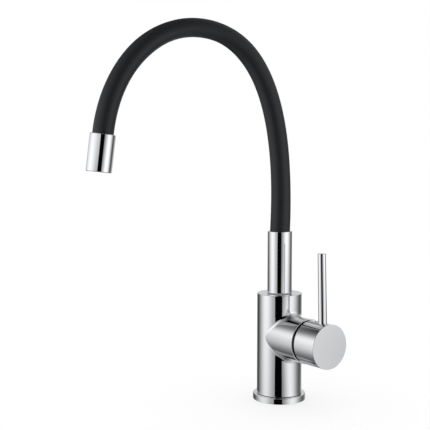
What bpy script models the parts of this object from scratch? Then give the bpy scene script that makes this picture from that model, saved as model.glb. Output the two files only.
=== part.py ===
"""Single-lever kitchen mixer tap with a flexible, hose-covered spout.

The deck is the plane z = 0 and the column stands on the Z axis. The cartridge housing and
its lever point along +X, -Y is the front, and the spout hangs over the front, turned a
little away from the lever. Everything is in metres.
"""

import math

import bmesh
import bpy
from mathutils import Matrix, Quaternion, Vector
from mathutils.geometry import interpolate_bezier

# Clearances, and how far a cutter runs past what it cuts
SEAT_GAP = 0.0003
FIT_GAP = 0.0003
CUT_OVERRUN = 0.002
WELD_DISTANCE = 1e-7

# Ceramic cartridge: a 35 mm one, described from its seat outwards
CARTRIDGE_RADIUS = 0.0175
CARTRIDGE_SEAT = 0.004
CASE_WALL = 0.0013
CASE_FRONT = 0.0025
CARTRIDGE_BASE_THICKNESS = 0.004
FIXED_DISC_THICKNESS = 0.003
MOVING_DISC_THICKNESS = 0.003
MOVING_DISC_MARGIN = 0.0006
MIXING_POCKET_RADIUS = 0.008
MIXING_POCKET_DEPTH = 0.0016
CARRIER_THICKNESS = 0.005
CARRIER_FLOOR = 0.0006
TURRET_LENGTH = 0.0107
TURRET_NECK_LENGTH = 0.0063
TURRET_NECK_WALL = 0.0014
TURRET_SLOT_CLEARANCE = 0.0006
PORT_RADIUS = 0.0028
PORT_SEAL_WIDTH = 0.0012
PORT_SEAL_THICKNESS = 0.0013

# Stem, and the pivot pin that it tilts on
PIVOT_DEPTH = 0.0071
PIVOT_PIN_RADIUS = 0.0015
PIVOT_PIN_INSET = 0.001
STEM_HALF_WIDTH = 0.004
STEM_NECK_START = 0.005
STEM_NECK_HALF_HEIGHT = 0.0014
NOSE_ARM = 0.0094
NOSE_RADIUS = 0.002
NOSE_CLEARANCE = 0.0004
FLOW_LIMIT = math.radians(25.0)

# Retaining nut and trim sleeve
NUT_SHOULDER = 0.0017
NUT_LENGTH = 0.006
NUT_BORE_CLEARANCE = 0.0013
NUT_SLOT_WIDTH = 0.004
NUT_SLOT_DEPTH = 0.002
TRIM_WALL = 0.001

# Body casting
HOUSING_WALL = 0.0030
HOUSING_EDGE = 0.0007
HOUSING_FILLET = 0.0045
FILLET_SINK = 0.00015
BODY_STEP = 0.0005
BODY_EDGE = 0.0005
LEVER_HEIGHT = 0.0665
SOCKET_FLOOR = 0.0037
SOCKET_DEPTH = 0.0216
FOOT_RADIUS = 0.015

# Waterways: two inlets and a fixing stud below, one outlet above
INLET_SPREAD = 0.008
INLET_SETBACK = 0.004
INLET_DROP = 0.003
INLET_THREAD_RADIUS = 0.0046
INLET_THREAD_DEPTH = 0.014
CHANNEL_RADIUS = 0.0032
OUTLET_SETBACK = 0.002
OUTLET_RISE = 0.009
STUD_OFFSET = 0.009
STUD_RADIUS = 0.0034
STUD_DEPTH = 0.014

# Base ring and its seal
RING_MARGIN = 0.004
RING_HEIGHT = 0.006
RING_EDGE = 0.0008
SEAL_INSET = 0.0025
SEAL_WIDTH = 0.004
SEAL_HEIGHT = 0.002

# Knob and lever pin. Places on them are measured from the knob's axis and its front face.
KNOB_STEP = 0.0006
KNOB_SETBACK = 0.020
KNOB_GAP = 0.0026
KNOB_LENGTH = 0.0276
KNOB_REAR_EDGE = 0.0005
KNOB_FRONT_EDGE = 0.0005
BOWL_CLEARANCE = 0.0006
STEM_COVER = 0.007
PIN_SETBACK = 0.0097
PIN_LEAN = math.radians(1.8)
PIN_RADIUS = 0.004
PIN_FOOT_RADIUS = 0.0043
PIN_LENGTH = 0.0712
PIN_EDGE = 0.0005
PIN_SEAT_DEPTH = 0.0038
PIN_SHANK_RADIUS = 0.0025
PIN_SHANK_LENGTH = 0.005
GRUB_SETBACK = 0.0143
GRUB_SLANT = math.radians(16.0)
GRUB_RADIUS = 0.0022
GRUB_LENGTH = 0.007
HEX_KEY_RADIUS = 0.0012
HEX_KEY_DEPTH = 0.002

# Hose, from the inside out
TUBE_BORE = 0.0032
TUBE_WALL = 0.0016
SPRING_CLEARANCE = 0.0005
SPRING_WALL = 0.0023
SLEEVE_CLEARANCE = 0.0004
SLEEVE_WALL = 0.0019
SLEEVE_END_SWELL = 0.0003
SLEEVE_END_TAPER = 0.060
SLEEVE_CROWN_THINNING = 0.0007
SLEEVE_CROWN_SPAN = 0.040

# Line of the hose, seen square to the spout's plane
SPOUT_TURN = math.radians(15.0)
CROWN_RISE = 0.2008
CROWN_REACH = 0.0905
NOZZLE_REACH = 0.1836
NOZZLE_DROP = 0.1034
NOZZLE_LEAN = math.radians(7.0)
RISER_LEAN = math.radians(2.8)
RISER_PULL_SHARE = 0.84
CROWN_BACK_SHARE = 0.48
CROWN_FRONT_SHARE = 0.48
DROP_PULL_SHARE = 0.62
BEND_REACH = 0.075
BEND_DROP = 0.049
HOSE_STATIONS = 32
BEZIER_POINTS = 60

# Collar, spigot and the hose's lower end
WASHER_THICKNESS = 0.0004
WASHER_INSET = 0.0004
COLLAR_HEIGHT = 0.0626
COLLAR_LIP = 0.0008
COLLAR_LIP_DEPTH = 0.003
COLLAR_WALL = 0.0013
COLLAR_EDGE = 0.0004
SPIGOT_BORE = 0.0055
SPIGOT_RISE = 0.017
RING_GROOVE_RISES = (0.004, 0.010)
RING_GROOVE_WIDTH = 0.0022
RING_GROOVE_DEPTH = 0.002
LOCK_RISE = 0.017
LOCK_GROOVE_DEPTH = 0.0015
LOCK_SCREW_RADIUS = 0.002
LOCK_SCREW_RECESS = 0.0015
LOWER_FITTING_LENGTH = 0.0317
LOWER_SPRING_SEAT = 0.012
LOWER_TUBE_SEAT = 0.014

# Nozzle, measured down its own axis from its top
NOZZLE_LENGTH = 0.036
NOZZLE_WALL = 0.0013
NOZZLE_LIP = 0.0006
NOZZLE_LIP_DEPTH = 0.003
NOZZLE_TOP_EDGE = 0.0009
NOZZLE_RIM_EDGE = 0.0003
HOSE_INSERT = 0.008
UPPER_FITTING_LENGTH = 0.0137
UPPER_SPRING_SEAT = 0.0054
UPPER_TUBE_SEAT = 0.006
AERATOR_WASHER_THICKNESS = 0.0015
AERATOR_WASHER_WIDTH = 0.0028
AERATOR_RECESS = 0.001
AERATOR_WALL = 0.0014
AERATOR_LEDGE = 0.001
SCREEN_THICKNESS = 0.0012
SCREEN_RECESS = 0.0008
SCREEN_HOLE = 0.0022
SCREEN_PITCH = 0.0034
SCREEN_ROWS = 5

# Facets
BODY_STEPS = 48
PART_STEPS = 32
SMALL_STEPS = 16
FILLET_STEPS = 3
BOWL_STEPS = 6
O_RING_SIDES = 6
SLEEVE_SIDES = 16
SPRING_SIDES = 10
TUBE_SIDES = 8
SMOOTH_ANGLE = math.radians(32.0)

# Sizes that follow from those above, along the housing's axis from the column's axis
base_start = CARTRIDGE_SEAT + SEAT_GAP
base_end = base_start + CARTRIDGE_BASE_THICKNESS
fixed_start = base_end + SEAT_GAP
fixed_end = fixed_start + FIXED_DISC_THICKNESS
moving_start = fixed_end + SEAT_GAP
moving_end = moving_start + MOVING_DISC_THICKNESS
carrier_start = moving_end + SEAT_GAP
carrier_end = carrier_start + CARRIER_THICKNESS
turret_start = carrier_end + SEAT_GAP
turret_end = turret_start + TURRET_LENGTH
neck_end = turret_end + TURRET_NECK_LENGTH
case_front_start = turret_end + SEAT_GAP
case_end = case_front_start + CASE_FRONT
nut_start = case_end + SEAT_GAP
nut_end = nut_start + NUT_LENGTH
trim_start = nut_end + SEAT_GAP
pivot_place = turret_start + PIVOT_DEPTH
knob_rear = pivot_place + KNOB_SETBACK
housing_end = knob_rear - KNOB_GAP

# Radii about the housing's axis
case_inner = CARTRIDGE_RADIUS - CASE_WALL
turret_radius = case_inner - FIT_GAP
cavity_radius = CARTRIDGE_RADIUS + FIT_GAP
nut_radius = CARTRIDGE_RADIUS + NUT_SHOULDER
mouth_radius = nut_radius + FIT_GAP
housing_radius = mouth_radius + HOUSING_WALL
knob_radius = housing_radius - KNOB_STEP
disc_travel = NOSE_ARM * math.sin(FLOW_LIMIT)
disc_radius = case_inner - disc_travel / 2 - MOVING_DISC_MARGIN
slot_half_width = STEM_HALF_WIDTH + NOSE_CLEARANCE
stem_swing = (neck_end - pivot_place) * math.tan(FLOW_LIMIT) + STEM_HALF_WIDTH / math.cos(FLOW_LIMIT)
slot_half_height = stem_swing + TURRET_SLOT_CLEARANCE
neck_radius = math.hypot(slot_half_height, slot_half_width) + TURRET_NECK_WALL
nut_bore = neck_radius + NUT_BORE_CLEARANCE

# The knob's bowl and the trim sleeve are parts of spheres about the pivot
trim_sphere = math.hypot(knob_radius, KNOB_SETBACK - KNOB_GAP)
bowl_sphere = trim_sphere + BOWL_CLEARANCE
trim_hole = math.hypot(trim_sphere * math.sin(FLOW_LIMIT) + STEM_HALF_WIDTH, STEM_HALF_WIDTH)
knob_front = KNOB_SETBACK + KNOB_LENGTH
pin_seat = knob_radius - PIN_SEAT_DEPTH

# Heights and radii of the column
body_radius = housing_radius + BODY_STEP
ring_radius = body_radius + RING_MARGIN
body_bottom = RING_HEIGHT + SEAT_GAP
socket_bottom = LEVER_HEIGHT + cavity_radius + SOCKET_FLOOR
body_top = socket_bottom + SOCKET_DEPTH
washer_bottom = body_top + SEAT_GAP
collar_bottom = washer_bottom + WASHER_THICKNESS + SEAT_GAP
collar_top = collar_bottom + COLLAR_HEIGHT

# Radii of the hose's layers, its collar and its nozzle
tube_radius = TUBE_BORE + TUBE_WALL
spring_bore = tube_radius + SPRING_CLEARANCE
spring_radius = spring_bore + SPRING_WALL
sleeve_bore = spring_radius + SLEEVE_CLEARANCE
sleeve_radius = sleeve_bore + SLEEVE_WALL
sleeve_end_radius = sleeve_radius + SLEEVE_END_SWELL
lip_bore = sleeve_end_radius + FIT_GAP
collar_bore = lip_bore + COLLAR_LIP
collar_radius = collar_bore + COLLAR_WALL
spigot_radius = collar_bore - FIT_GAP
socket_radius = spigot_radius + FIT_GAP
nozzle_bore = lip_bore + NOZZLE_LIP
nozzle_radius = nozzle_bore + NOZZLE_WALL
insert_radius = nozzle_bore - FIT_GAP
spring_seat_bore = spring_radius + FIT_GAP
tube_seat_bore = tube_radius + FIT_GAP

# Heights inside the column, and places along the nozzle's axis
spigot_bottom = socket_bottom + SEAT_GAP
spigot_top = collar_bottom + SPIGOT_RISE
lower_fitting_bottom = spigot_top + SEAT_GAP
lower_fitting_top = lower_fitting_bottom + LOWER_FITTING_LENGTH
lower_seat = lower_fitting_top - LOWER_SPRING_SEAT
upper_fitting_start = HOSE_INSERT + SEAT_GAP
upper_fitting_end = upper_fitting_start + UPPER_FITTING_LENGTH
upper_seat = upper_fitting_start + UPPER_SPRING_SEAT
washer_start = upper_fitting_end + SEAT_GAP
washer_end = washer_start + AERATOR_WASHER_THICKNESS
aerator_start = washer_end + SEAT_GAP
aerator_end = NOZZLE_LENGTH - AERATOR_RECESS
screen_end = aerator_end - SCREEN_RECESS
screen_start = screen_end - SCREEN_THICKNESS
ledge_end = screen_start - SEAT_GAP
aerator_bore = insert_radius - AERATOR_WALL
crown_height = collar_top + CROWN_RISE
nozzle_height = crown_height - NOZZLE_DROP

# Where the three ports lie about the housing's axis: (sideways, upwards)
PORTS = {
    "hot": (INLET_SPREAD, -INLET_DROP),
    "cold": (-INLET_SPREAD, -INLET_DROP),
    "outlet": (0, OUTLET_RISE),
}


def clear_scene():
    for old in list(bpy.data.objects):
        bpy.data.objects.remove(old, do_unlink=True)


def material(name, colour, roughness, metallic):
    made = bpy.data.materials.new(name)
    made.use_nodes = True
    shader = made.node_tree.nodes["Principled BSDF"]
    shader.inputs["Base Color"].default_value = (*colour, 1.0)
    shader.inputs["Roughness"].default_value = roughness
    shader.inputs["Metallic"].default_value = metallic
    return made


CHROME = ((0.80, 0.81, 0.82), 0.06, 1.0)
BRASS = ((0.72, 0.55, 0.25), 0.30, 1.0)
STEEL = ((0.60, 0.60, 0.61), 0.30, 1.0)
RUBBER = ((0.02, 0.02, 0.02), 0.75, 0.0)
SILICONE = ((0.015, 0.015, 0.017), 0.60, 0.0)
GREY_PLASTIC = ((0.35, 0.36, 0.38), 0.45, 0.0)
BLACK_PLASTIC = ((0.012, 0.012, 0.013), 0.45, 0.0)
WHITE_PLASTIC = ((0.80, 0.80, 0.78), 0.40, 0.0)
CERAMIC = ((0.86, 0.84, 0.80), 0.25, 0.0)
TUBE_PLASTIC = ((0.60, 0.65, 0.70), 0.35, 0.0)


def empty(name, parent=None, location=(0, 0, 0), rotation=(0, 0, 0)):
    made = bpy.data.objects.new(name, None)
    bpy.context.scene.collection.objects.link(made)
    made.parent = parent
    made.location = location
    made.rotation_euler = rotation
    return made


def finish(name, shape, look, parent=None, location=(0, 0, 0), rotation=(0, 0, 0)):
    """Makes the object from its finished bmesh. With no look it is a cutter."""
    bmesh.ops.recalc_face_normals(shape, faces=shape.faces)
    mesh = bpy.data.meshes.new(name)
    shape.to_mesh(mesh)
    shape.free()
    mesh.shade_smooth()
    mesh.set_sharp_from_angle(angle=SMOOTH_ANGLE)
    made = bpy.data.objects.new(name, mesh)
    bpy.context.scene.collection.objects.link(made)
    made.parent = parent
    made.location = location
    made.rotation_euler = rotation
    if look:
        mesh.materials.append(material(name, *look))
    else:
        made.hide_render = True
        made.display_type = "WIRE"
    return made


def turn_into(shape, profile, steps, centre=(0, 0, 0)):
    """Turns a closed section of (radius, height) points about Z, into the bmesh."""
    x, y, z = centre
    points = [shape.verts.new((x + radius, y, z + height)) for radius, height in profile]
    edges = []
    for index, point in enumerate(points):
        following = points[(index + 1) % len(points)]
        if profile[index][0] > 0 or profile[(index + 1) % len(points)][0] > 0:
            edges.append(shape.edges.new((point, following)))
    bmesh.ops.spin(
        shape, geom=points + edges, cent=centre, axis=(0, 0, 1), angle=math.tau, steps=steps, use_merge=True
    )


def turned(
    name, profile, steps, look, parent=None, location=(0, 0, 0), rotation=(0, 0, 0), centres=((0, 0, 0),)
):
    """One turned solid at each centre, all in one object."""
    shape = bmesh.new()
    for centre in centres:
        turn_into(shape, profile, steps, centre)
    bmesh.ops.remove_doubles(shape, verts=shape.verts, dist=WELD_DISTANCE)
    return finish(name, shape, look, parent, location, rotation)


def rod(radius, start, end):
    """The section of a plain round bar."""
    return [(0, start), (radius, start), (radius, end), (0, end)]


def tube_section(bore, radius, start, end):
    """The section of a plain round tube or ring."""
    return [(bore, start), (radius, start), (radius, end), (bore, end)]


def block_into(shape, low, high):
    size = Vector(high) - Vector(low)
    middle = (Vector(high) + Vector(low)) / 2
    bmesh.ops.create_cube(shape, size=1, matrix=Matrix.LocRotScale(middle, None, size))


def block(name, low, high, look=None, parent=None, location=(0, 0, 0)):
    shape = bmesh.new()
    block_into(shape, low, high)
    return finish(name, shape, look, parent, location)


def combine(target, other, operation):
    change = target.modifiers.new(other.name, "BOOLEAN")
    change.operation = operation
    change.solver = "EXACT"
    change.object = other


def cut(target, *cutters):
    for cutter in cutters:
        combine(target, cutter, "DIFFERENCE")


# Base


def base_ring():
    groove_outer = ring_radius - SEAL_INSET
    groove_inner = groove_outer - SEAL_WIDTH - FIT_GAP * 2
    groove_top = SEAL_HEIGHT + SEAT_GAP
    bore = FOOT_RADIUS + FIT_GAP
    profile = [
        (bore, 0),
        (groove_inner, 0),
        (groove_inner, groove_top),
        (groove_outer, groove_top),
        (groove_outer, 0),
        (ring_radius, 0),
        (ring_radius, RING_HEIGHT - RING_EDGE),
        (ring_radius - RING_EDGE, RING_HEIGHT),
        (bore, RING_HEIGHT),
    ]
    turned("base_ring", profile, BODY_STEPS, CHROME)


def base_seal():
    outer = ring_radius - SEAL_INSET - FIT_GAP
    turned("base_seal", tube_section(outer - SEAL_WIDTH, outer, 0, SEAL_HEIGHT), PART_STEPS, RUBBER)


# Body casting


def fillet_rings(steps, arc_steps):
    """Rings of the side housing, from its mouth to where its fillet runs into the column.

    A ball of the fillet's radius rolls round in the corner. Its centre is that radius away
    from both round surfaces, and the fillet is the arc between the points that it touches.
    """
    angles = [math.tau * index / steps for index in range(steps)]
    rings = [[] for _ in range(arc_steps + 5)]
    for angle in angles:
        side, up = math.sin(angle), math.cos(angle)
        ball_y = (housing_radius + HOUSING_FILLET) * side
        ball_z = (housing_radius + HOUSING_FILLET) * up
        ball_x = math.sqrt((body_radius + HOUSING_FILLET) ** 2 - ball_y**2)
        ball = Vector((ball_x, ball_y, ball_z))
        share = body_radius / (body_radius + HOUSING_FILLET)
        on_body = Vector((ball_x * share, ball_y * share, ball_z))
        on_housing = Vector((ball_x, housing_radius * side, housing_radius * up))
        to_housing, to_body = on_housing - ball, on_body - ball
        opening = to_housing.angle(to_body)
        edge_radius = housing_radius - HOUSING_EDGE
        rings[0].append(Vector((housing_end, edge_radius * side, edge_radius * up)))
        rings[1].append(Vector((housing_end - HOUSING_EDGE, housing_radius * side, housing_radius * up)))
        for step in range(arc_steps + 1):
            swept = opening * step / arc_steps
            arm = to_housing * math.sin(opening - swept) + to_body * math.sin(swept)
            rings[2 + step].append(ball + arm / math.sin(opening))
        sunk = (body_radius - FILLET_SINK) / body_radius
        rings[arc_steps + 3].append(Vector((on_body.x * sunk, on_body.y * sunk, on_body.z)))
        rings[arc_steps + 4].append(Vector((0, on_body.y * sunk, on_body.z)))
    return rings


def side_housing():
    shape = bmesh.new()
    rings = [[shape.verts.new(point) for point in ring] for ring in fillet_rings(BODY_STEPS, FILLET_STEPS)]
    del rings[-3]
    for ring, following in zip(rings, rings[1:]):
        for index in range(BODY_STEPS):
            after = (index + 1) % BODY_STEPS
            shape.faces.new((ring[index], ring[after], following[after], following[index]))
    shape.faces.new(rings[0])
    shape.faces.new(rings[-1])
    return finish("side_housing", shape, None, location=(0, 0, LEVER_HEIGHT))


def channel(name, start, end, radius):
    """A round cutter between two points, turned half a facet so that no edges meet where two cross."""
    start, end = Vector(start), Vector(end)
    length = (end - start).length
    half_facet = Quaternion((0, 0, 1), math.pi / SMALL_STEPS)
    turn = ((end - start).to_track_quat("Z", "Y") @ half_facet).to_euler()
    return turned(name, rod(radius, 0, length), SMALL_STEPS, None, location=start, rotation=turn)


def body_casting(lever_frame):
    profile = [
        (0, 0),
        (FOOT_RADIUS, 0),
        (FOOT_RADIUS, body_bottom),
        (body_radius, body_bottom),
        (body_radius, body_top - BODY_EDGE),
        (body_radius - BODY_EDGE, body_top),
        (0, body_top),
    ]
    body = turned("body_casting", profile, BODY_STEPS, CHROME)
    combine(body, side_housing(), "UNION")

    bore = [
        (0, CARTRIDGE_SEAT),
        (cavity_radius, CARTRIDGE_SEAT),
        (cavity_radius, case_end),
        (mouth_radius, case_end),
        (mouth_radius, housing_end + CUT_OVERRUN),
        (0, housing_end + CUT_OVERRUN),
    ]
    cut(body, turned("cartridge_bore", bore, PART_STEPS, None, parent=lever_frame))
    socket = rod(socket_radius, socket_bottom, body_top + CUT_OVERRUN)
    cut(body, turned("spout_socket", socket, PART_STEPS, None))

    seat = CARTRIDGE_SEAT + CUT_OVERRUN
    for name in ("hot", "cold"):
        side, up = PORTS[name]
        port_height = LEVER_HEIGHT + up
        inlet = [
            (0, -CUT_OVERRUN),
            (INLET_THREAD_RADIUS, -CUT_OVERRUN),
            (INLET_THREAD_RADIUS, INLET_THREAD_DEPTH),
            (CHANNEL_RADIUS, INLET_THREAD_DEPTH),
            (CHANNEL_RADIUS, port_height + CHANNEL_RADIUS),
            (0, port_height + CHANNEL_RADIUS),
        ]
        cut(body, turned(name + "_inlet", inlet, SMALL_STEPS, None, location=(-INLET_SETBACK, side, 0)))
        here, there = (-INLET_SETBACK, side, port_height), (seat, side, port_height)
        cut(body, channel(name + "_port", here, there, PORT_RADIUS))
    outlet_height = LEVER_HEIGHT + PORTS["outlet"][1]
    back, front = (-OUTLET_SETBACK, 0, outlet_height), (seat, 0, outlet_height)
    cut(body, channel("outlet_port", back, front, PORT_RADIUS))
    low = (-OUTLET_SETBACK, 0, outlet_height - CHANNEL_RADIUS)
    high = (-OUTLET_SETBACK, 0, socket_bottom + CUT_OVERRUN)
    cut(body, channel("outlet_riser", low, high, CHANNEL_RADIUS))
    below = (STUD_OFFSET, 0, -CUT_OVERRUN)
    cut(body, channel("stud_bore", below, (STUD_OFFSET, 0, STUD_DEPTH), STUD_RADIUS))
    lock_height = spigot_bottom + LOCK_RISE
    cut(body, channel("lock_bore", (0, socket_radius - CUT_OVERRUN, lock_height),
                      (0, body_radius + CUT_OVERRUN, lock_height), LOCK_SCREW_RADIUS + FIT_GAP))


def spout_lock_screw():
    tip = spigot_radius - LOCK_GROOVE_DEPTH + SEAT_GAP
    head = body_radius - LOCK_SCREW_RECESS
    profile = [
        (0, tip),
        (LOCK_SCREW_RADIUS, tip),
        (LOCK_SCREW_RADIUS, head),
        (HEX_KEY_RADIUS, head),
        (HEX_KEY_RADIUS, head - HEX_KEY_DEPTH),
        (0, head - HEX_KEY_DEPTH),
    ]
    place = (0, 0, spigot_bottom + LOCK_RISE)
    turned("spout_lock_screw", profile, SMALL_STEPS, STEEL, location=place, rotation=(-math.pi / 2, 0, 0))


# Cartridge. In the lever's frame Z runs out along the housing and -X is up.


def port_centres(start):
    return [(-up, side, start) for side, up in PORTS.values()]


def cartridge_base(frame):
    plate = rod(CARTRIDGE_RADIUS, base_start, base_end)
    base = turned("cartridge_base", plate, PART_STEPS, GREY_PLASTIC, frame)
    recess_radius = PORT_RADIUS + PORT_SEAL_WIDTH + FIT_GAP * 2
    recess_depth = PORT_SEAL_THICKNESS + SEAT_GAP
    port = [
        (0, -CUT_OVERRUN),
        (recess_radius, -CUT_OVERRUN),
        (recess_radius, recess_depth),
        (PORT_RADIUS, recess_depth),
        (PORT_RADIUS, CARTRIDGE_BASE_THICKNESS + CUT_OVERRUN),
        (0, CARTRIDGE_BASE_THICKNESS + CUT_OVERRUN),
    ]
    centres = port_centres(base_start)
    cut(base, turned("base_ports", port, SMALL_STEPS, None, frame, centres=centres))
    seal_bore = PORT_RADIUS + FIT_GAP
    seal = tube_section(seal_bore, seal_bore + PORT_SEAL_WIDTH, 0, PORT_SEAL_THICKNESS)
    for name, centre in zip(PORTS, centres):
        turned(name + "_port_seal", seal, SMALL_STEPS, RUBBER, frame, centre)


def fixed_disc(frame):
    radius = case_inner - FIT_GAP
    disc = turned("fixed_disc", rod(radius, fixed_start, fixed_end), PART_STEPS, CERAMIC, frame)
    hole = rod(PORT_RADIUS, -CUT_OVERRUN, FIXED_DISC_THICKNESS + CUT_OVERRUN)
    cut(disc, turned("disc_ports", hole, SMALL_STEPS, None, frame, centres=port_centres(fixed_start)))


def cartridge_case(frame):
    opening = neck_radius + FIT_GAP
    profile = [
        (case_inner, fixed_start),
        (CARTRIDGE_RADIUS, fixed_start),
        (CARTRIDGE_RADIUS, case_end),
        (opening, case_end),
        (opening, case_front_start),
        (case_inner, case_front_start),
    ]
    turned("cartridge_case", profile, PART_STEPS, WHITE_PLASTIC, frame)


def moving_disc(slide_frame):
    disc = turned("moving_disc", rod(disc_radius, moving_start, moving_end), PART_STEPS, CERAMIC, slide_frame)
    pocket = rod(MIXING_POCKET_RADIUS, moving_start - CUT_OVERRUN, moving_start + MIXING_POCKET_DEPTH)
    cut(disc, turned("mixing_pocket", pocket, SMALL_STEPS, None, slide_frame))


def disc_carrier(slide_frame, frame):
    carrier = turned(
        "disc_carrier", rod(disc_radius, carrier_start, carrier_end), PART_STEPS, GREY_PLASTIC, slide_frame
    )
    half_height = NOSE_RADIUS + NOSE_CLEARANCE
    low = (-half_height, -slot_half_width, carrier_start + CARRIER_FLOOR)
    high = (half_height, slot_half_width, carrier_end + CUT_OVERRUN)
    cut(carrier, block("nose_pocket", low, high, parent=frame))


def cartridge_turret(frame):
    profile = [
        (0, turret_start),
        (turret_radius, turret_start),
        (turret_radius, turret_end),
        (neck_radius, turret_end),
        (neck_radius, neck_end),
        (0, neck_end),
    ]
    turret = turned("cartridge_turret", profile, PART_STEPS, GREY_PLASTIC, frame)
    low = (-slot_half_height, -slot_half_width, turret_start - CUT_OVERRUN)
    high = (slot_half_height, slot_half_width, neck_end + CUT_OVERRUN)
    cut(turret, block("stem_slot", low, high, parent=frame))
    half_length = turret_radius + CUT_OVERRUN
    hole = rod(PIVOT_PIN_RADIUS + FIT_GAP, -half_length, half_length)
    across = (math.pi / 2, 0, 0)
    place = (0, 0, pivot_place)
    cut(turret, turned("pivot_bore", hole, SMALL_STEPS, None, frame, place, across))
    pin_half = turret_radius - PIVOT_PIN_INSET
    pin = rod(PIVOT_PIN_RADIUS, -pin_half, pin_half)
    turned("stem_pivot_pin", pin, SMALL_STEPS, STEEL, frame, place, across)


def retaining_nut(frame):
    nut = turned(
        "retaining_nut", tube_section(nut_bore, nut_radius, nut_start, nut_end), PART_STEPS, BRASS, frame
    )
    low_end = nut_end - NUT_SLOT_DEPTH
    high_end = nut_end + CUT_OVERRUN
    reach = nut_radius + CUT_OVERRUN
    half = NUT_SLOT_WIDTH / 2
    cut(nut, block("nut_slot_up", (-reach, -half, low_end), (reach, half, high_end), parent=frame))
    cut(nut, block("nut_slot_across", (-half, -reach, low_end), (half, reach, high_end), parent=frame))


def sphere_arc(radius, start_height, end_radius, steps):
    """Points (radius, height) on a sphere about the origin, from a height to a radius."""
    first = math.acos(start_height / radius)
    last = math.asin(end_radius / radius)
    angles = [first + (last - first) * step / steps for step in range(steps + 1)]
    return [(radius * math.sin(angle), radius * math.cos(angle)) for angle in angles]


def trim_sleeve(frame):
    bottom = trim_start - pivot_place
    steps = BOWL_STEPS // 2
    outer = sphere_arc(trim_sphere, math.sqrt(trim_sphere**2 - nut_radius**2), trim_hole, steps)
    inner_sphere = trim_sphere - TRIM_WALL
    inner_radius = nut_radius - TRIM_WALL
    inner = sphere_arc(inner_sphere, math.sqrt(inner_sphere**2 - inner_radius**2), trim_hole, steps)
    profile = [(inner_radius, bottom), (nut_radius, bottom), *outer, *reversed(inner)]
    turned("trim_sleeve", profile, BODY_STEPS, BLACK_PLASTIC, frame, location=(0, 0, pivot_place))


# Lever. Heights run out from the pivot, and -X is up.


def lever_stem(frame):
    stem_end = knob_front - STEM_COVER
    half = STEM_HALF_WIDTH
    stem = block("lever_stem", (-half, -half, -STEM_NECK_START), (half, half, stem_end), BRASS, frame)
    neck_half = STEM_NECK_HALF_HEIGHT
    neck_top = -STEM_NECK_START + CUT_OVERRUN
    neck = block("stem_neck", (-neck_half, -half, -NOSE_ARM), (neck_half, half, neck_top), parent=frame)
    combine(stem, neck, "UNION")
    across = (math.pi / 2, 0, 0)
    nose = rod(NOSE_RADIUS, -half, half)
    combine(stem, turned("stem_nose", nose, SMALL_STEPS, None, frame, (0, 0, -NOSE_ARM), across), "UNION")
    reach = half + CUT_OVERRUN
    cut(stem, turned("stem_bore", rod(PIVOT_PIN_RADIUS + FIT_GAP, -reach, reach), SMALL_STEPS, None, frame,
                     rotation=across))


def knob(frame):
    rim_bore = math.sqrt(bowl_sphere**2 - KNOB_SETBACK**2)
    bowl = sphere_arc(bowl_sphere, KNOB_SETBACK, 0, BOWL_STEPS)
    profile = [
        (0, knob_front),
        (knob_radius - KNOB_FRONT_EDGE, knob_front),
        (knob_radius, knob_front - KNOB_FRONT_EDGE),
        (knob_radius, KNOB_SETBACK + KNOB_REAR_EDGE),
        (knob_radius - KNOB_REAR_EDGE, KNOB_SETBACK),
        (rim_bore, KNOB_SETBACK),
        *bowl[1:-1],
        (0, bowl_sphere),
    ]
    made = turned("knob", profile, BODY_STEPS, CHROME, frame)
    half = STEM_HALF_WIDTH + FIT_GAP
    low = (-half, -half, KNOB_SETBACK)
    high = (half, half, knob_front - STEM_COVER + SEAT_GAP)
    cut(made, block("stem_socket", low, high, parent=frame))
    shank_end = pin_seat - PIN_SHANK_LENGTH - SEAT_GAP
    pin_bore = [
        (0, shank_end),
        (PIN_SHANK_RADIUS + FIT_GAP, shank_end),
        (PIN_SHANK_RADIUS + FIT_GAP, pin_seat),
        (PIN_FOOT_RADIUS + FIT_GAP, pin_seat),
        (PIN_FOOT_RADIUS + FIT_GAP, knob_radius + CUT_OVERRUN),
        (0, knob_radius + CUT_OVERRUN),
    ]
    pin_place = (0, 0, knob_front - PIN_SETBACK)
    leaning = (0, -math.pi / 2 - PIN_LEAN, 0)
    cut(made, turned("pin_bore", pin_bore, SMALL_STEPS * 2, None, frame, pin_place, leaning))
    grub_place = (0, 0, knob_front - GRUB_SETBACK)
    grub_end = knob_radius / math.cos(GRUB_SLANT) + CUT_OVERRUN
    grub = rod(GRUB_RADIUS + FIT_GAP, half - CUT_OVERRUN, grub_end)
    slanted = (0, -math.pi / 2 - GRUB_SLANT, 0)
    cut(made, turned("grub_bore", grub, SMALL_STEPS, None, frame, grub_place, slanted))


def lever_pin(frame):
    """It tapers a little upwards and leans a little towards the column."""
    foot = pin_seat + SEAT_GAP
    top = foot + PIN_LENGTH
    profile = [
        (0, foot - PIN_SHANK_LENGTH),
        (PIN_SHANK_RADIUS, foot - PIN_SHANK_LENGTH),
        (PIN_SHANK_RADIUS, foot),
        (PIN_FOOT_RADIUS, foot),
        (PIN_RADIUS, top - PIN_EDGE),
        (PIN_RADIUS - PIN_EDGE, top),
        (0, top),
    ]
    place = (0, 0, knob_front - PIN_SETBACK)
    turned("lever_pin", profile, SMALL_STEPS * 2, CHROME, frame, place, (0, -math.pi / 2 - PIN_LEAN, 0))


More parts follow.
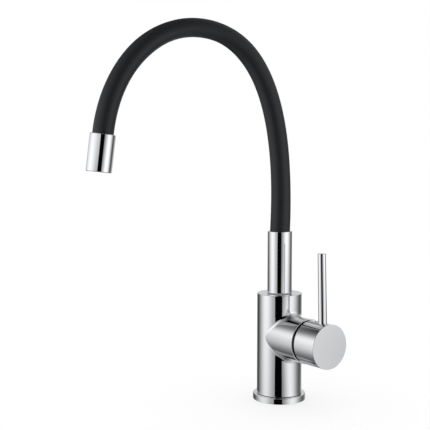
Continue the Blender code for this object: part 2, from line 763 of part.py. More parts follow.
def grub_screw(frame):
    """It leans back so that its bore clears both the knob's bowl and the lever pin."""
    tip = (STEM_HALF_WIDTH + SEAT_GAP + GRUB_RADIUS * math.sin(GRUB_SLANT)) / math.cos(GRUB_SLANT)
    head = tip + GRUB_LENGTH
    profile = [
        (0, tip),
        (GRUB_RADIUS, tip),
        (GRUB_RADIUS, head),
        (HEX_KEY_RADIUS, head),
        (HEX_KEY_RADIUS, head - HEX_KEY_DEPTH),
        (0, head - HEX_KEY_DEPTH),
    ]
    place = (0, 0, knob_front - GRUB_SETBACK)
    turned("grub_screw", profile, SMALL_STEPS, STEEL, frame, place, (0, -math.pi / 2 - GRUB_SLANT, 0))


# Swivelling spout. In the spout's frame X is the reach.


def spout_spigot(frame):
    groove_floor = spigot_radius - RING_GROOVE_DEPTH
    lock_floor = spigot_radius - LOCK_GROOVE_DEPTH
    lock_half = LOCK_SCREW_RADIUS + FIT_GAP
    outline = [(SPIGOT_BORE, spigot_bottom), (spigot_radius, spigot_bottom)]
    for rise in RING_GROOVE_RISES:
        low = spigot_bottom + rise
        high = low + RING_GROOVE_WIDTH
        outline += [(spigot_radius, low), (groove_floor, low), (groove_floor, high), (spigot_radius, high)]
    low = spigot_bottom + LOCK_RISE - lock_half
    high = spigot_bottom + LOCK_RISE + lock_half
    outline += [(spigot_radius, low), (lock_floor, low), (lock_floor, high), (spigot_radius, high)]
    outline += [(spigot_radius, spigot_top), (SPIGOT_BORE, spigot_top)]
    turned("spout_spigot", outline, PART_STEPS, BRASS, frame)


def spigot_seals(frame):
    inner = spigot_radius - RING_GROOVE_DEPTH + FIT_GAP
    section = (socket_radius - FIT_GAP - inner) / 2
    for name, rise in zip(("lower_o_ring", "upper_o_ring"), RING_GROOVE_RISES):
        middle = spigot_bottom + rise + RING_GROOVE_WIDTH / 2
        profile = []
        for index in range(O_RING_SIDES):
            angle = math.tau * index / O_RING_SIDES
            profile.append((inner + section + section * math.cos(angle), middle + section * math.sin(angle)))
        turned(name, profile, PART_STEPS, RUBBER, frame)


def swivel_washer(frame):
    profile = tube_section(
        socket_radius, collar_radius - WASHER_INSET, washer_bottom, washer_bottom + WASHER_THICKNESS
    )
    turned("swivel_washer", profile, PART_STEPS, GREY_PLASTIC, frame)


def spout_collar(frame):
    profile = [
        (collar_bore, collar_bottom),
        (collar_radius, collar_bottom),
        (collar_radius, collar_top - COLLAR_EDGE),
        (collar_radius - COLLAR_EDGE, collar_top),
        (lip_bore, collar_top),
        (lip_bore, collar_top - COLLAR_LIP_DEPTH),
        (collar_bore, collar_top - COLLAR_LIP_DEPTH),
    ]
    turned("spout_collar", profile, PART_STEPS, CHROME, frame)


def lower_end_fitting(frame):
    profile = [
        (tube_seat_bore, lower_fitting_bottom),
        (spigot_radius, lower_fitting_bottom),
        (spigot_radius, lower_fitting_top),
        (spring_seat_bore, lower_fitting_top),
        (spring_seat_bore, lower_seat),
        (tube_seat_bore, lower_seat),
    ]
    turned("lower_end_fitting", profile, PART_STEPS, BRASS, frame)


def hose_line():
    """The hose's middle line from the collar's mouth to the nozzle's, close together."""
    mouth = Vector((0, 0, collar_top))
    crown = Vector((CROWN_REACH, 0, crown_height))
    end = Vector((NOZZLE_REACH, 0, nozzle_height))
    rise = Vector((-math.sin(RISER_LEAN), 0, math.cos(RISER_LEAN))) * CROWN_RISE * RISER_PULL_SHARE
    back = Vector((CROWN_REACH * CROWN_BACK_SHARE, 0, 0))
    front = Vector(((NOZZLE_REACH - CROWN_REACH) * CROWN_FRONT_SHARE, 0, 0))
    lift = Vector((-math.sin(NOZZLE_LEAN), 0, math.cos(NOZZLE_LEAN))) * NOZZLE_DROP * DROP_PULL_SHARE
    riser = interpolate_bezier(mouth, mouth + rise, crown - back, crown, BEZIER_POINTS)
    drop = interpolate_bezier(crown, crown + front, end + lift, end, BEZIER_POINTS)
    return riser + drop[1:]


def walk(line):
    """A function that gives the point and the direction at a distance along the line.

    Before its start and past its end the line goes straight on, into the collar and the nozzle.
    """
    lengths = [0]
    for here, following in zip(line, line[1:]):
        lengths.append(lengths[-1] + (following - here).length)
    nozzle_way = Vector((math.sin(NOZZLE_LEAN), 0, -math.cos(NOZZLE_LEAN)))

    def at(distance):
        if distance <= 0:
            return line[0] + Vector((0, 0, distance)), Vector((0, 0, 1))
        if distance >= lengths[-1]:
            return line[-1] + nozzle_way * (distance - lengths[-1]), nozzle_way
        after = next(index for index, length in enumerate(lengths) if length >= distance)
        share = (distance - lengths[after - 1]) / (lengths[after] - lengths[after - 1])
        before = max(after - 2, 0)
        ahead = min(after + 1, len(line) - 1)
        return line[after - 1].lerp(line[after], share), (line[ahead] - line[before]).normalized()

    return at, lengths[-1]


def smooth_step(share):
    share = min(max(share, 0), 1)
    return share * share * (3 - 2 * share)


def hose_tube(name, start, end, radius_at, bore, sides, look, frame):
    """A tube along the hose's line, from one distance to another."""
    at, length = walk(hose_line())
    places = [length * index / HOSE_STATIONS for index in range(HOSE_STATIONS + 1)]
    places = [start] + [place for place in places if start < place < end] + [end]
    shape = bmesh.new()
    walls = []
    for wall in ("outside", "inside"):
        rings = []
        for place in places:
            point, way = at(place)
            across = Vector((0, 1, 0))
            outward = across.cross(way)
            radius = radius_at(place, length, point.x) if wall == "outside" else bore
            ring = []
            for index in range(sides):
                angle = math.tau * index / sides
                arm = outward * math.cos(angle) + across * math.sin(angle)
                ring.append(shape.verts.new(point + arm * radius))
            rings.append(ring)
        walls.append(rings)
        for ring, following in zip(rings, rings[1:]):
            for index in range(sides):
                after = (index + 1) % sides
                shape.faces.new((ring[index], ring[after], following[after], following[index]))
    for end_ring in (0, -1):
        outside, inside = walls[0][end_ring], walls[1][end_ring]
        for index in range(sides):
            after = (index + 1) % sides
            shape.faces.new((outside[index], outside[after], inside[after], inside[index]))
    return finish(name, shape, look, frame)


def sleeve_radius_at(place, length, reach):
    """The sleeve swells over the fittings at its ends and is stretched thin over the crown."""
    from_end = min(place, length - place)
    swell = SLEEVE_END_SWELL * (1 - smooth_step(from_end / SLEEVE_END_TAPER))
    over_crown = smooth_step(1.5 - abs(reach - CROWN_REACH) / SLEEVE_CROWN_SPAN)
    return sleeve_radius + swell - SLEEVE_CROWN_THINNING * over_crown


def hose(frame):
    length = walk(hose_line())[1]
    below = lower_fitting_top + SEAT_GAP - collar_top
    above = length + HOSE_INSERT
    hose_tube("hose_sleeve", below, above, sleeve_radius_at, sleeve_bore, SLEEVE_SIDES, SILICONE, frame)
    spring_start = lower_seat + SEAT_GAP - collar_top
    spring_end = length + upper_seat - SEAT_GAP
    ends = (spring_start, spring_end)
    hose_tube("support_spring", *ends, lambda *_: spring_radius, spring_bore, SPRING_SIDES, STEEL, frame)
    ends = (spring_start - LOWER_TUBE_SEAT, spring_end + UPPER_TUBE_SEAT)
    hose_tube("inner_tube", *ends, lambda *_: tube_radius, TUBE_BORE, TUBE_SIDES, TUBE_PLASTIC, frame)


# Nozzle. In its frame Z runs down its axis, from its top.


def nozzle_shell(frame):
    profile = [
        (lip_bore, 0),
        (nozzle_radius - NOZZLE_TOP_EDGE, 0),
        (nozzle_radius, NOZZLE_TOP_EDGE),
        (nozzle_radius, NOZZLE_LENGTH - NOZZLE_RIM_EDGE),
        (nozzle_radius - NOZZLE_RIM_EDGE, NOZZLE_LENGTH),
        (nozzle_bore, NOZZLE_LENGTH),
        (nozzle_bore, NOZZLE_LIP_DEPTH),
        (lip_bore, NOZZLE_LIP_DEPTH),
    ]
    turned("nozzle_shell", profile, PART_STEPS, CHROME, frame)


def upper_end_fitting(frame):
    profile = [
        (spring_seat_bore, upper_fitting_start),
        (insert_radius, upper_fitting_start),
        (insert_radius, upper_fitting_end),
        (tube_seat_bore, upper_fitting_end),
        (tube_seat_bore, upper_seat),
        (spring_seat_bore, upper_seat),
    ]
    turned("upper_end_fitting", profile, PART_STEPS, BRASS, frame)


def aerator(frame):
    washer = tube_section(insert_radius - AERATOR_WASHER_WIDTH, insert_radius, washer_start, washer_end)
    turned("aerator_washer", washer, PART_STEPS, RUBBER, frame)
    ledge_bore = aerator_bore - AERATOR_LEDGE
    profile = [
        (ledge_bore, aerator_start),
        (insert_radius, aerator_start),
        (insert_radius, aerator_end),
        (aerator_bore, aerator_end),
        (aerator_bore, ledge_end),
        (ledge_bore, ledge_end),
    ]
    turned("aerator_housing", profile, PART_STEPS, GREY_PLASTIC, frame)
    screen_radius = aerator_bore - FIT_GAP
    plate = rod(screen_radius, screen_start, screen_end)
    screen = turned("aerator_screen", plate, PART_STEPS, WHITE_PLASTIC, frame)
    shape = bmesh.new()
    middle = (SCREEN_ROWS - 1) / 2
    half = SCREEN_HOLE / 2
    for row in range(SCREEN_ROWS):
        for column in range(SCREEN_ROWS):
            x, y = (row - middle) * SCREEN_PITCH, (column - middle) * SCREEN_PITCH
            if math.hypot(abs(x) + half, abs(y) + half) < screen_radius:
                low = (x - half, y - half, screen_start - CUT_OVERRUN)
                block_into(shape, low, (x + half, y + half, screen_end + CUT_OVERRUN))
    cut(screen, finish("screen_holes", shape, None, frame))


def build():
    clear_scene()
    lever_frame = empty("housing_axis", location=(0, 0, LEVER_HEIGHT), rotation=(0, math.pi / 2, 0))
    turret_frame = empty("temperature_axis", lever_frame)
    slide_frame = empty("disc_slide_start", turret_frame, location=(disc_travel / 2, 0, 0))
    flow_frame = empty("flow_axis", turret_frame, location=(0, 0, pivot_place))
    spout_frame = empty("spout_axis", rotation=(0, 0, -math.pi / 2 - SPOUT_TURN))
    bend_place = (BEND_REACH, 0, crown_height - BEND_DROP)
    bend_frame = empty("hose_bend_axis", spout_frame, location=bend_place)
    nozzle_place = Vector((NOZZLE_REACH, 0, nozzle_height)) - Vector(bend_place)
    nozzle_frame = empty("nozzle_axis", bend_frame, nozzle_place, (0, math.pi - NOZZLE_LEAN, 0))

    base_ring()
    base_seal()
    body_casting(lever_frame)
    spout_lock_screw()
    cartridge_base(lever_frame)
    fixed_disc(lever_frame)
    cartridge_case(lever_frame)
    retaining_nut(lever_frame)
    trim_sleeve(lever_frame)
    cartridge_turret(turret_frame)
    moving_disc(slide_frame)
    disc_carrier(slide_frame, turret_frame)
    lever_stem(flow_frame)
    knob(flow_frame)
    lever_pin(flow_frame)
    grub_screw(flow_frame)
    spout_spigot(spout_frame)
    spigot_seals(spout_frame)
    swivel_washer(spout_frame)
    spout_collar(spout_frame)
    lower_end_fitting(spout_frame)
    hose(spout_frame)
    nozzle_shell(nozzle_frame)
    upper_end_fitting(nozzle_frame)
    aerator(nozzle_frame)


build()
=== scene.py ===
"""Looks of a deck-mounted kitchen tap: a chrome column with a side lever and a black hose spout.

Plain lengths are in millimetres. Vectors that have been multiplied by MM, the camera and the room
round the tap are in metres. A section is a list of (radius, place) points, with the place counted
along the axis that the piece is turned about.
"""

import math

import bmesh
import bpy
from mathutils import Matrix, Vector
from mathutils.geometry import interpolate_bezier


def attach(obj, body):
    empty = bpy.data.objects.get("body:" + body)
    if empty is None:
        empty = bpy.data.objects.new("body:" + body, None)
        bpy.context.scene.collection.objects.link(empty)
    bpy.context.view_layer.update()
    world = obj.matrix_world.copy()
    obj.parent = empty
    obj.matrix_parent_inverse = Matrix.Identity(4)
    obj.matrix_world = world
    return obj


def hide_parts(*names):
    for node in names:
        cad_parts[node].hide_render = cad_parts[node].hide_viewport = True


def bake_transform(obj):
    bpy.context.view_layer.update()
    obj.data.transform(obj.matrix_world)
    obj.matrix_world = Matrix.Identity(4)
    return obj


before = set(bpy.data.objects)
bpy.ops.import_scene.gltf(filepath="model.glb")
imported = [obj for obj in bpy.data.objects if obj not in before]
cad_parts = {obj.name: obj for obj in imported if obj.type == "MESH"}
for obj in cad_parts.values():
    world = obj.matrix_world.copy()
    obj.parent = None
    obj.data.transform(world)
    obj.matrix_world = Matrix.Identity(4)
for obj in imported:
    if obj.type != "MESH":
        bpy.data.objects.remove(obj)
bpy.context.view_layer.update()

MM = 0.001
UP = Vector((0, 0, 1))
ALONG = Vector((1, 0, 0))
BACK = Vector((0, 1, 0))
DECK = Vector((0, 0, 0))

# The base ring and the groove for its seal
RING_R, RING_TOP, RING_BORE = 27.0, 6.0, 15.3
GROOVE_INNER_R, GROOVE_OUTER_R, GROOVE_DEPTH = 19.9, 24.5, 2.3

# The column and its side housing, whose fillet ends a little under the column's surface
FOOT_R, BODY_R, BODY_BOTTOM, BODY_TOP = 15.0, 23.0, 6.3, 109.6
HOUSING_R, HOUSING_END, HOUSING_FILLET, FILLET_SINK = 22.5, 45.0, 4.5, 0.15
LEVER_Z, PIVOT_X = 66.5, 27.6
LEVER_AXIS = Vector((0, 0, LEVER_Z)) * MM

# Bores in the column, with ends that lie past its surface where they come out
UNDER_FOOT = -1
CAVITY_R, CAVITY_START = 17.8, 4.0
MOUTH_R, MOUTH_START, MOUTH_END = 19.5, 34.0, 47.0
SOCKET_R, SOCKET_FLOOR, SOCKET_END = 11.3, 88.0, 112.0
INLET_X, INLET_SIDE, INLET_R, INLET_DEPTH, INLET_TOP, INLET_DROP = -4, 8, 4.6, 14, 66.7, 3
OUTLET_X, OUTLET_Z, OUTLET_LENGTH, OUTLET_RISE = -2, 66, 24, 9
CHANNEL_R, PORT_R, PORT_END = 3.2, 2.8, 6
STUD_X, STUD_R, STUD_DEPTH = 9, 3.4, 14
LOCK_Z, LOCK_R, LOCK_START, LOCK_END = 105.3, 2.3, 9, 25

# The trim and the knob's bowl, both parts of spheres about the point that the lever tilts on
TRIM_SPHERE, TRIM_WALL, TRIM_R, TRIM_BORE, TRIM_HOLE, TRIM_REAR = 27.97, 1.0, 19.2, 18.2, 16.3, 40.6
KNOB_R, KNOB_REAR, KNOB_FRONT = 21.9, 47.6, 75.2
BOWL_SPHERE, BOWL_RIM, BOWL_TIP = 28.571, 20.4, 0.4
STEM_SOCKET_HALF, STEM_SOCKET_START, STEM_SOCKET_END = 4.3, 45, 68.5
GRUB_X, GRUB_R, GRUB_START, GRUB_SLANT = 60.9, 2.5, 2.0, math.radians(16)

# The pin that stands in the knob, and its hole there, by heights above the knob's axis
PIN_R, PIN_FOOT_R, PIN_FOOT, PIN_TOP = 4.0, 4.3, 18.4, 89.6
SHANK_R, SHANK_LENGTH = 2.5, 5
PIN_HOLE_R, PIN_HOLE_FLOOR, PIN_SEAT_R, PIN_SEAT = 2.8, 12.8, 4.45, 18.1
KNOB_CLEAR = 26                         # past the knob's surface, for drilling
PIN_LEAN = math.radians(1.8)
PIN_WAY = Vector((-math.sin(PIN_LEAN), 0, math.cos(PIN_LEAN)))
PIN_START = Vector((65.5, 0, LEVER_Z)) * MM

# The spout: its plane, its collar, its nozzle, and the lips of both that hold the hose
SPOUT_AZIMUTH = math.radians(-105)
REACH = Vector((math.cos(SPOUT_AZIMUTH), math.sin(SPOUT_AZIMUTH), 0))
ACROSS = UP.cross(REACH)
COLLAR_R, COLLAR_BORE, COLLAR_BOTTOM, COLLAR_TOP = 12.6, 11.3, 110.6, 173.2
WASHER_R, WASHER_BORE, WASHER_BOTTOM, WASHER_TOP = 12.5, 11.4, 109.65, 110.55
NOZZLE_R, NOZZLE_BORE, NOZZLE_LENGTH = 12.4, 11.1, 36.0
NOZZLE_LEAN = math.radians(7)
NOZZLE_WAY = REACH * math.sin(NOZZLE_LEAN) - UP * math.cos(NOZZLE_LEAN)
LIP_BORE, LIP_DEPTH = 10.5, 3

# The hose's middle line: two (reach, height) points, and the lengths of its curves' handles
CROWN, NOZZLE = (90.5, 374.0), (183.6, 270.6)
RISER_LEAN = math.radians(2.8)
RISER_HANDLE, CROWN_REAR_HANDLE, CROWN_FRONT_HANDLE, DROP_HANDLE = 168.7, 43.4, 44.7, 64.1
LINE_POINTS = 80

# The hose's layers, each from a height in the collar to a depth in the nozzle
SLEEVE_R, SLEEVE_WALL, SLEEVE_START, SLEEVE_INSERT = 9.9, 1.1, 159.9, 8
END_SWELL, END_TAPER, CROWN_THINNING, CROWN_SPAN, CROWN_FADE = 0.3, 60, 0.7, 40, 1.5
COIL_R, WIRE_R, COIL_PITCH, COIL_START, COIL_INSERT = 6.45, 1.13, 2.4, 149.1, 12.3
TUBE_R, TUBE_WALL, TUBE_START, TUBE_INSERT = 4.8, 1.6, 133.9, 19.4
# Reaches between which the layers would bend from going with the collar to going with the nozzle; polish is
# handed them but leaves the hose fixed where it is drawn
BEND_FROM, BEND_TO = 11, 171

# Facets round a circle, fine enough for mirror reflections on the large chrome pieces
ROUND, MIDDLE_ROUND, PIN_ROUND, SMALL_ROUND = 192, 128, 96, 64
SLEEVE_ROUND, TUBE_ROUND, WIRE_ROUND = 72, 24, 8
# Steps of the arcs, points in a turn of the coil, and how far apart the hose's other stations lie
FILLET_STEPS, TRIM_STEPS, BOWL_STEPS, KNOB_RIM_STEPS = 10, 12, 24, 6
COIL_STEPS, SLEEVE_SPACING, TUBE_SPACING = 18, 2.5, 4

RIM_TOLERANCE = 0.02                    # how far off a rim an edge's ends may lie
SMOOTH_ANGLE = math.radians(30)
WELD_DISTANCE, SHORTEST_EDGE = 1e-6, 1e-7          # in metres


# Modelling


def start(obj, name):
    """Names a new piece and its data, and puts its place and size into its points."""
    obj.name = obj.data.name = name
    bpy.ops.object.transform_apply(location=True, rotation=True, scale=True)
    return obj


def alone(obj):
    bpy.ops.object.select_all(action="DESELECT")
    obj.select_set(True)
    bpy.context.view_layer.objects.active = obj


def turned(name, section, foot=DECK, way=UP, steps=ROUND, solid=False):
    """A circle drawn out along way and scaled from point to point of a section."""
    bpy.ops.object.select_all(action="DESELECT")
    radius, place = section[0]
    bpy.ops.mesh.primitive_circle_add(
        vertices=steps, radius=radius * MM, fill_type="NGON" if solid else "NOTHING",
        location=foot + way * place * MM, rotation=way.to_track_quat("Z", "Y").to_euler(),
    )
    made = start(bpy.context.object, name)
    bpy.ops.object.mode_set(mode="EDIT")
    bpy.ops.mesh.select_all(action="SELECT")
    following = section[1:] if solid else section[1:] + section[:1]
    for next_radius, next_place in following:
        step = way * (next_place - place) * MM
        bpy.ops.mesh.extrude_region_move(TRANSFORM_OT_translate={"value": step})
        grow = next_radius / radius
        if grow != 1:
            centre = foot + way * next_place * MM
            bpy.ops.transform.resize(value=(grow,) * 3, center_override=centre)
        radius, place = next_radius, next_place
    tidy_faces()
    return made


def tidy_faces():
    """Merges what meets, turns all faces outwards and leaves edit mode."""
    bpy.ops.mesh.select_all(action="SELECT")
    bpy.ops.mesh.remove_doubles(threshold=WELD_DISTANCE)
    bpy.ops.mesh.normals_make_consistent(inside=False)
    bpy.ops.object.mode_set(mode="OBJECT")


def round_rims(obj, rims, foot=DECK, way=UP, segments=4):
    """Bevels the edges that lie on each (radius, place, width) rim."""
    for radius, place, width in rims:
        alone(obj)
        bpy.ops.object.mode_set(mode="EDIT")
        bpy.ops.mesh.select_mode(type="EDGE")
        bpy.ops.mesh.select_all(action="DESELECT")
        shape = bmesh.from_edit_mesh(obj.data)
        for edge in shape.edges:
            edge.select = all(on_rim(point.co, radius, place, foot, way) for point in edge.verts)
        bmesh.update_edit_mesh(obj.data)
        bpy.ops.mesh.bevel(offset=width * MM, segments=segments, affect="EDGES", clamp_overlap=True)
        bpy.ops.object.mode_set(mode="OBJECT")


def on_rim(point, radius, place, foot, way):
    arm = (point - foot) / MM
    height = arm.dot(way)
    off = abs((arm - way * height).length - radius)
    return abs(height - place) < RIM_TOLERANCE and off < RIM_TOLERANCE


def box(name, low, high):
    low, high = Vector(low) * MM, Vector(high) * MM
    bpy.ops.object.select_all(action="DESELECT")
    bpy.ops.mesh.primitive_cube_add(size=1, location=(low + high) / 2, scale=high - low)
    return start(bpy.context.object, name)


def carve(obj, *tools, operation="DIFFERENCE"):
    """Cuts the tools out of the piece, or joins them on, and clears them away."""
    alone(obj)
    for tool in tools:
        change = obj.modifiers.new("carve", "BOOLEAN")
        change.operation, change.solver, change.object = operation, "EXACT", tool
        bpy.ops.object.modifier_apply(modifier=change.name)
        bpy.data.objects.remove(tool)
    bpy.ops.object.mode_set(mode="EDIT")
    bpy.ops.mesh.select_all(action="SELECT")
    bpy.ops.mesh.dissolve_degenerate(threshold=SHORTEST_EDGE)
    tidy_faces()


def drilled(radius, start_at, end_at, foot, way, steps=SMALL_ROUND):
    return turned("drill", [(radius, start_at), (radius, end_at)], foot, way, steps, solid=True)


def from_shape(name, shape):
    """Makes a piece of a finished bmesh."""
    mesh = bpy.data.meshes.new(name)
    shape.to_mesh(mesh)
    shape.free()
    made = bpy.data.objects.new(name, mesh)
    bpy.context.scene.collection.objects.link(made)
    return made


def polish(obj, look, body, node):
    """Smooths the shading, with large faces keeping their own direction, and puts the piece in its place."""
    alone(obj)
    bpy.ops.object.shade_smooth_by_angle(angle=SMOOTH_ANGLE)
    even = obj.modifiers.new("even", "WEIGHTED_NORMAL")
    even.keep_sharp = True
    bpy.ops.object.modifier_apply(modifier=even.name)
    obj.data.materials.clear()
    obj.data.materials.append(look)
    if isinstance(body, str):
        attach(obj, body)
    else:
        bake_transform(obj)
    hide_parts(node)


# Materials

NOISE_DETAIL = 3.0
WANDER_SHARE = 0.12                     # the tone wanders over patches this much coarser than the grain
FIRST_COLOUR, SECOND_COLOUR, MIXED_COLOUR = 6, 7, 2     # the colour sockets of a Mix node


def linear(text):
    """An sRGB hex colour as the linear one that a shader takes."""
    values = [int(text[at:at + 2], 16) / 255 for at in (1, 3, 5)]
    return (*[v / 12.92 if v <= 0.04045 else ((v + 0.055) / 1.055) ** 2.4 for v in values], 1)


def node(tree, kind, inputs=None, **settings):
    """A shader node, with sockets linked to it and plain values set on it."""
    made = tree.nodes.new("ShaderNode" + kind)
    for name, value in settings.items():
        setattr(made, name, value)
    for name, value in (inputs or {}).items():
        if isinstance(value, bpy.types.NodeSocket):
            tree.links.new(value, made.inputs[name])
        else:
            made.inputs[name].default_value = value
    return made


def result(tree, operation, *values):
    """What a Math node makes of the values."""
    return node(tree, "Math", dict(enumerate(values)), operation=operation).outputs[0]


def surface(name, light, dark, rough, grain_mm, relief_mm, metallic=0.0):
    """A material whose colour wanders between two tones and whose sheen and relief follow the same grain."""
    made = bpy.data.materials.new(name)
    made.use_nodes = True
    tree = made.node_tree
    shader = tree.nodes["Principled BSDF"]
    place = node(tree, "TexCoord").outputs["Object"]
    fine = 1 / (grain_mm * MM)
    coarse = WANDER_SHARE / (grain_mm * MM)
    grain = node(tree, "TexNoise", {"Vector": place, "Scale": fine, "Detail": NOISE_DETAIL}).outputs["Fac"]
    wander = node(tree, "TexNoise", {"Vector": place, "Scale": coarse}).outputs["Fac"]
    tones = {"Factor": wander, FIRST_COLOUR: linear(dark), SECOND_COLOUR: linear(light)}
    tone = node(tree, "Mix", tones, data_type="RGBA")
    sheen = node(tree, "MapRange", {"Value": grain, "To Min": rough[0], "To Max": rough[1]})
    bump = node(tree, "Bump", {"Height": grain, "Distance": relief_mm * MM, "Strength": 1.0})
    tree.links.new(tone.outputs[MIXED_COLOUR], shader.inputs["Base Color"])
    tree.links.new(sheen.outputs["Result"], shader.inputs["Roughness"])
    tree.links.new(bump.outputs["Normal"], shader.inputs["Normal"])
    shader.inputs["Metallic"].default_value = metallic
    return made


# Bright nickel-chrome plating buffed to a mirror: crisp reflections with a barely visible cloudiness
CHROME = surface("mirror_chrome_plating", "#E0E1E3", "#DADBDE", (0.03, 0.05), 30, 0.0, metallic=1.0)
# Soft-touch silicone over the hose: near black, with a dull sheen along its sides and a fine even grain
SILICONE = surface("extruded_black_silicone", "#10181F", "#0C1319", (0.46, 0.58), 0.9, 0.02)
# Turned brass, left bare inside the tap: warm yellow metal with fine tool marks
BRASS = surface("turned_brass", "#D9B871", "#C7A35A", (0.24, 0.36), 0.8, 0.004, metallic=1.0)
# Stainless screws, pins and spring wire: grey and slightly dull
STEEL = surface("stainless_wire_and_screws", "#B9B9B6", "#A6A6A4", (0.26, 0.38), 0.7, 0.004, metallic=1.0)
# Moulded nitrile rubber: black and matt, with the bloom that seals have
RUBBER = surface("moulded_nitrile_rubber", "#232322", "#191918", (0.62, 0.78), 1.2, 0.01)
# Acetal, the slippery grey plastic of the cartridge's moving pieces
ACETAL = surface("moulded_grey_acetal", "#6C6E71", "#606266", (0.36, 0.46), 1.6, 0.006)
# The swivel washer: a paler cut of the same plastic, seen only as a thin grey line
WASHER = surface("cut_pale_grey_acetal", "#B9BABC", "#ADAEB1", (0.34, 0.42), 1.2, 0.003)
# The trim in the gap behind the knob: satin black plastic whose black is painted shade, so that the gap reads
# as a shadow
TRIM_PAINTED_SHADE = surface("satin_black_trim_painted_shade", "#141415", "#0F0F10", (0.40, 0.50), 1.5, 0.004)
# Glass-filled white nylon of the cartridge case and the aerator's screen
NYLON = surface("moulded_white_nylon", "#E4E3DD", "#D8D7D0", (0.38, 0.48), 1.4, 0.008)
# Lapped alumina discs: cream white, smooth and slightly glossy
CERAMIC = surface("lapped_alumina_ceramic", "#EFEBE2", "#E6E1D6", (0.16, 0.24), 0.5, 0.002)
# Cross-linked polyethylene water tube: cloudy, bluish white
TUBE = surface("extruded_polyethylene_tube", "#C9D2DA", "#BCC6D0", (0.30, 0.40), 2.0, 0.004)

# Pieces that are seen only when the tap is taken apart keep their solids' shapes
NODE_LOOKS = {
    "base_seal": RUBBER, "spout_lock_screw": STEEL, "cartridge_base": ACETAL, "hot_port_seal": RUBBER,
    "cold_port_seal": RUBBER, "outlet_port_seal": RUBBER, "fixed_disc": CERAMIC, "cartridge_case": NYLON,
    "retaining_nut": BRASS, "cartridge_turret": ACETAL, "stem_pivot_pin": STEEL, "disc_carrier": ACETAL,
    "moving_disc": CERAMIC, "lever_stem": BRASS, "grub_screw": STEEL, "spout_spigot": BRASS,
    "lower_o_ring": RUBBER, "upper_o_ring": RUBBER, "lower_end_fitting": BRASS,
    "upper_end_fitting": BRASS, "aerator_housing": ACETAL, "aerator_screen": NYLON, "aerator_washer": RUBBER,
}
for node_name, look in NODE_LOOKS.items():
    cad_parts[node_name].data.materials.clear()
    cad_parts[node_name].data.materials.append(look)


# Column


def make_base_ring():
    section = [
        (RING_BORE, 0), (GROOVE_INNER_R, 0), (GROOVE_INNER_R, GROOVE_DEPTH),
        (GROOVE_OUTER_R, GROOVE_DEPTH), (GROOVE_OUTER_R, 0),
        (RING_R, 0), (RING_R, RING_TOP), (RING_BORE, RING_TOP),
    ]
    ring = turned("base_ring_turned", section)
    round_rims(ring, [(RING_R, RING_TOP, 0.8), (RING_R, 0, 0.25)])
    polish(ring, CHROME, "root", "base_ring")


def housing_rings(steps, arc_steps):
    """Rings of the housing, from its mouth along its side and round the fillet into the column.

    The fillet is the arc that a ball of its radius touches as it rolls round in the corner.
    """
    along_side, along_arc, in_column = 2, arc_steps + 1, 2
    rings = [[] for _ in range(along_side + along_arc + in_column)]
    to_axis = HOUSING_R + HOUSING_FILLET
    share = BODY_R / (BODY_R + HOUSING_FILLET)
    sunk = (BODY_R - FILLET_SINK) / BODY_R
    for index in range(steps):
        angle = math.tau * index / steps
        side, up = math.sin(angle), math.cos(angle)
        out_y, out_z = to_axis * side, to_axis * up
        out_x = math.sqrt((BODY_R + HOUSING_FILLET) ** 2 - out_y**2)
        ball = Vector((out_x, out_y, out_z))
        on_body = Vector((out_x * share, out_y * share, out_z))
        to_housing = Vector((out_x, HOUSING_R * side, HOUSING_R * up)) - ball
        to_body = on_body - ball
        opening = to_housing.angle(to_body)
        for row, place in enumerate((HOUSING_END, (HOUSING_END + out_x) / 2)):
            rings[row].append(Vector((place, HOUSING_R * side, HOUSING_R * up)))
        for step in range(along_arc):
            swept = opening * step / arc_steps
            arm = to_housing * math.sin(opening - swept) + to_body * math.sin(swept)
            rings[along_side + step].append(ball + arm / math.sin(opening))
        rings[-2].append(Vector((on_body.x * sunk, on_body.y * sunk, on_body.z)))
        rings[-1].append(Vector((0, on_body.y * sunk, on_body.z)))
    return rings


def make_side_housing():
    """Built ring by ring, because no bevel holds where two nearly equal round bars meet."""
    shape = bmesh.new()
    rings = [
        [shape.verts.new(LEVER_AXIS + point * MM) for point in ring]
        for ring in housing_rings(ROUND, FILLET_STEPS)
    ]
    for ring, following in zip(rings, rings[1:]):
        for index in range(ROUND):
            after = (index + 1) % ROUND
            shape.faces.new((ring[index], ring[after], following[after], following[index]))
    shape.faces.new(rings[0])
    shape.faces.new(rings[-1])
    bmesh.ops.recalc_face_normals(shape, faces=shape.faces)
    return from_shape("side_housing", shape)


